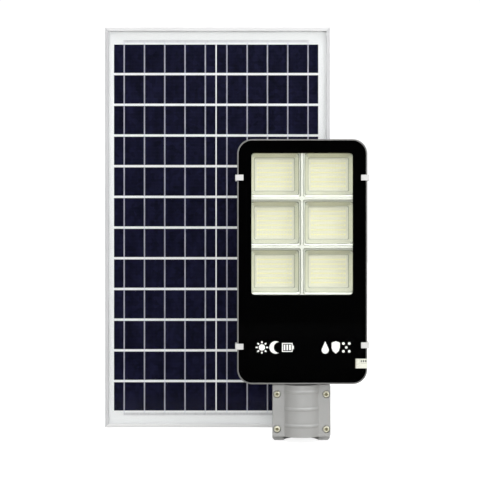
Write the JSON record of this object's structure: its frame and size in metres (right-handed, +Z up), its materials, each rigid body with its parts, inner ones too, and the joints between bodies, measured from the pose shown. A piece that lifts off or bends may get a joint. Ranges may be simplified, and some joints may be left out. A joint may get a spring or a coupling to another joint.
{
  "type": "solar street lamp",
  "caption": "Framed solar panel on a folding rear yoke, with a flat rectangular street lamp head whose clamp sleeve fits a round pole arm.",
  "frame": {"origin": "floor level, under the middle of the whole set's bounding box", "axes": "+Z up, -Y out of the panel's and lamp's fronts, +X to the right seen from the front"},
  "size_m": [0.395, 0.2464, 0.6222],
  "materials": {
    "anodised_frame": "satin silver anodised extrusion",
    "key_metal": "die-cast, plain",
    "sealant": "grey-white silicone",
    "panel_glass": "low-iron tempered glass",
    "silicon": "dark blue polycrystalline cells with fine fingers",
    "ribbon_metal": "tinned copper ribbon",
    "white_film": "white film",
    "black_plastic": "moulded, lightly textured",
    "contact_brass": "bright brass",
    "galvanised_steel": "galvanised sheet steel",
    "zinc_bolts": "yellow-white zinc plate",
    "cast_grey": "grey powder coat on die-cast aluminium",
    "silicone_black": "black silicone",
    "lamp_glass": "tempered glass",
    "black_print": "black ceramic print seen through glass",
    "reflector_plate": "metallised plastic",
    "white_board": "white solder mask",
    "phosphor": "yellow phosphor in white packages",
    "clip_white": "white nylon",
    "battery_wrap": "blue shrink wrap",
    "green_board": "green solder mask",
    "spring_steel": "stainless wire",
    "seal_paper": "blank tamper seal",
    "button_red": "red silicone-capped button"
  },
  "bodies": {
    "panel": {"frame_left": "anodised_frame", "frame_right": "anodised_frame", "frame_top": "anodised_frame", "frame_bottom": "anodised_frame", "corner_keys": "key_metal", "edge_seal": "sealant", "panel_glass": "panel_glass", "solar_cells": "silicon", "cell_ribbons": "ribbon_metal", "bus_ribbons": "ribbon_metal", "backsheet": "white_film", "junction_box": "black_plastic", "junction_lid": "black_plastic", "junction_terminals": "contact_brass", "gland_body": "black_plastic", "gland_nut": "black_plastic", "ear_left": "galvanised_steel", "ear_right": "galvanised_steel", "ear_bolts": "zinc_bolts", "pivot_bolts": "zinc_bolts", "pivot_nuts": "zinc_bolts"},
    "yoke": {"yoke_arm_left": "galvanised_steel", "yoke_arm_right": "galvanised_steel", "yoke_base": "galvanised_steel", "yoke_bolts": "zinc_bolts"},
    "lamp": {"lamp_housing": "cast_grey", "cooling_fins": "cast_grey", "glass_gasket": "silicone_black", "lamp_glass": "lamp_glass", "glass_print": "black_print", "reflector_1": "reflector_plate", "reflector_2": "reflector_plate", "reflector_3": "reflector_plate", "reflector_4": "reflector_plate", "reflector_5": "reflector_plate", "reflector_6": "reflector_plate", "led_board_1": "white_board", "led_board_2": "white_board", "led_board_3": "white_board", "led_board_4": "white_board", "led_board_5": "white_board", "led_board_6": "white_board", "led_chips": "phosphor", "glass_clip_1": "clip_white", "glass_clip_2": "clip_white", "glass_clip_3": "clip_white", "glass_clip_4": "clip_white", "clip_screws": "zinc_bolts", "battery_cells": "battery_wrap", "battery_holder": "black_plastic", "controller_board": "green_board", "button_bezel": "black_plastic", "button_spring": "spring_steel", "inlet_socket": "black_plastic", "inlet_nut": "black_plastic", "breather_valve": "black_plastic", "seal_label": "seal_paper"},
    "sleeve_front": {"sleeve_cap": "cast_grey", "cap_bolts": "zinc_bolts"},
    "button": {"power_button": "button_red"}
  },
  "joints": [
    {"name": "yoke_tilt", "type": "hinge", "parent": "panel", "child": "yoke", "pos_m": [-0.0225, 0.07318, 0.31], "axis": [1, 0, 0], "range_deg": [0, 100]},
    {"name": "lamp_lift", "type": "slide", "parent": "panel", "child": "lamp", "axis": [0, 0, 1], "range_m": [0, 0.65]},
    {"name": "cap_open", "type": "slide", "parent": "lamp", "child": "sleeve_front", "axis": [0, -1, 0], "range_m": [0, 0.004]},
    {"name": "button_press", "type": "slide", "parent": "lamp", "child": "button", "axis": [0, -1, 0], "range_m": [0, 0.002], "stiffness_N_per_m": 800, "deforming": ["button_spring"]}
  ]
}
